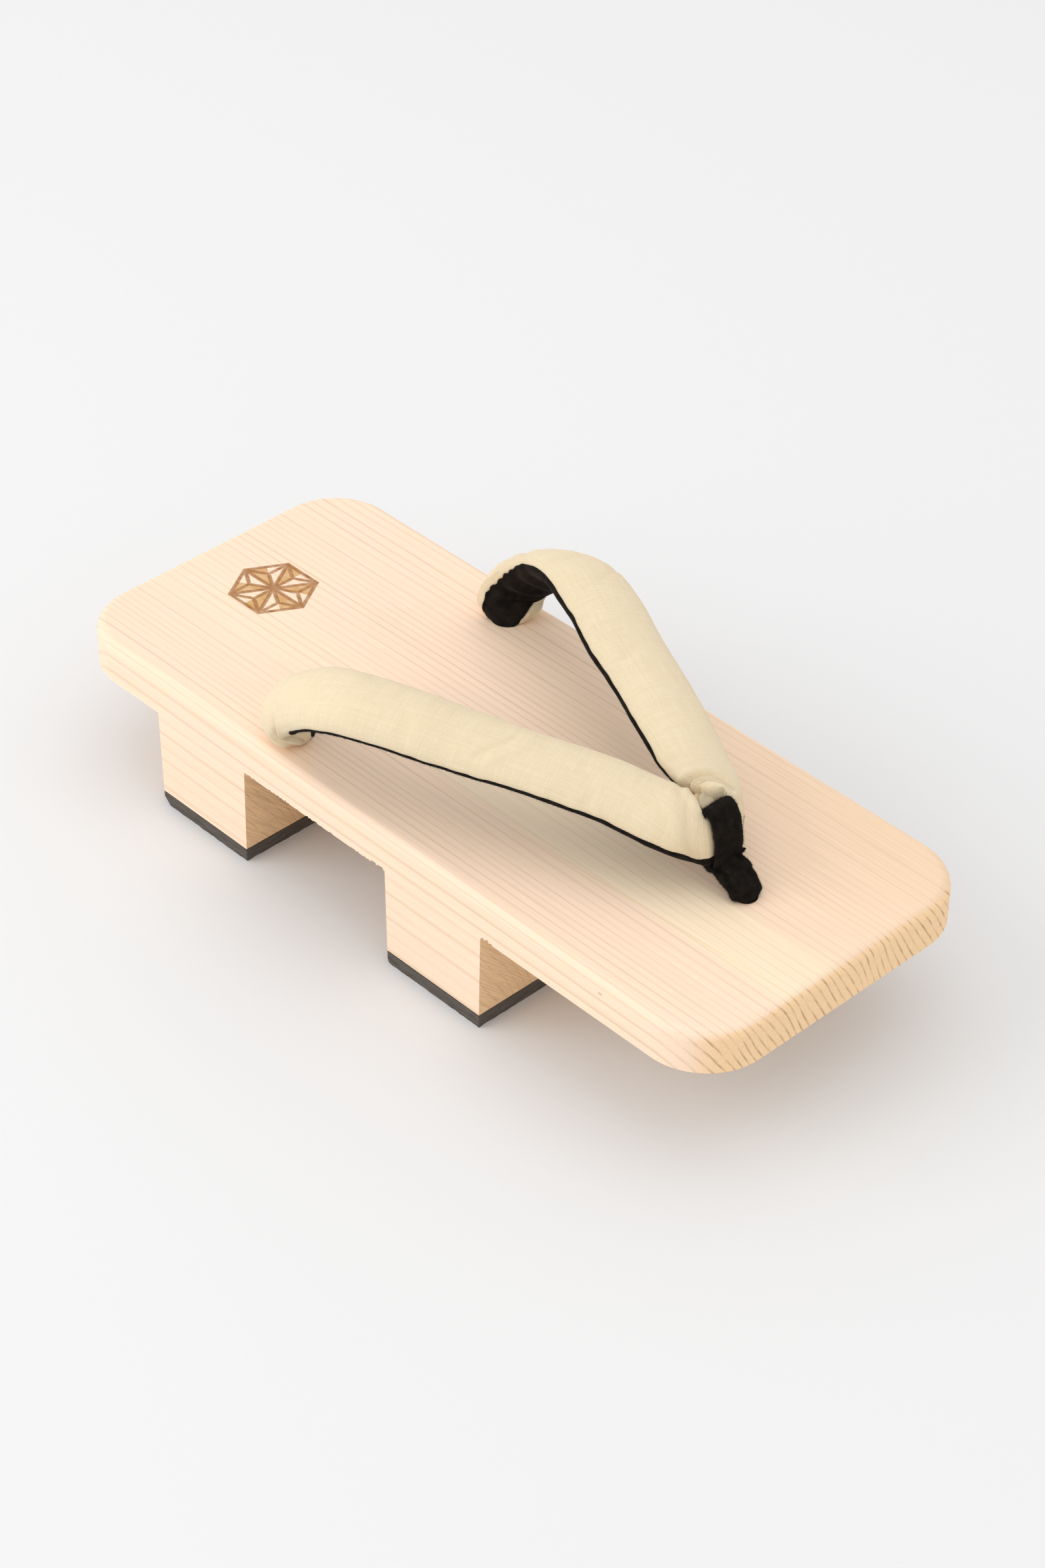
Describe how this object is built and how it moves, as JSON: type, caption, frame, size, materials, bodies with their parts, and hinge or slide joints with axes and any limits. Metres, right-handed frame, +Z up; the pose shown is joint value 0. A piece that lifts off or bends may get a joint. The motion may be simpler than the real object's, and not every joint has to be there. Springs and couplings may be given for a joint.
{
  "type": "geta sandal",
  "caption": "Japanese wooden geta sandal: board on two teeth with rubber treads, padded cloth strap, velvet toe thong.",
  "frame": {"origin": "on the floor, under the middle of the board's outline", "axes": "+Y towards the toe along the board, +X to the wearer's right, +Z up"},
  "size_m": [0.1064, 0.25, 0.0753],
  "materials": {
    "wood": "bare pale softwood, planed on top, sawn at the teeth",
    "rubber": "matte cut sheet",
    "strap_cloth": "cream plain weave over padding",
    "velvet": "black velvet with a short nap",
    "cord": "natural twisted cotton"
  },
  "bodies": {
    "root": {"board": "wood", "heel_tread": "rubber", "toe_tread": "rubber", "strap": "strap_cloth", "toe_thong": "velvet", "knot_right": "cord", "knot_left": "cord", "knot_toe": "cord"}
  },
  "joints": []
}
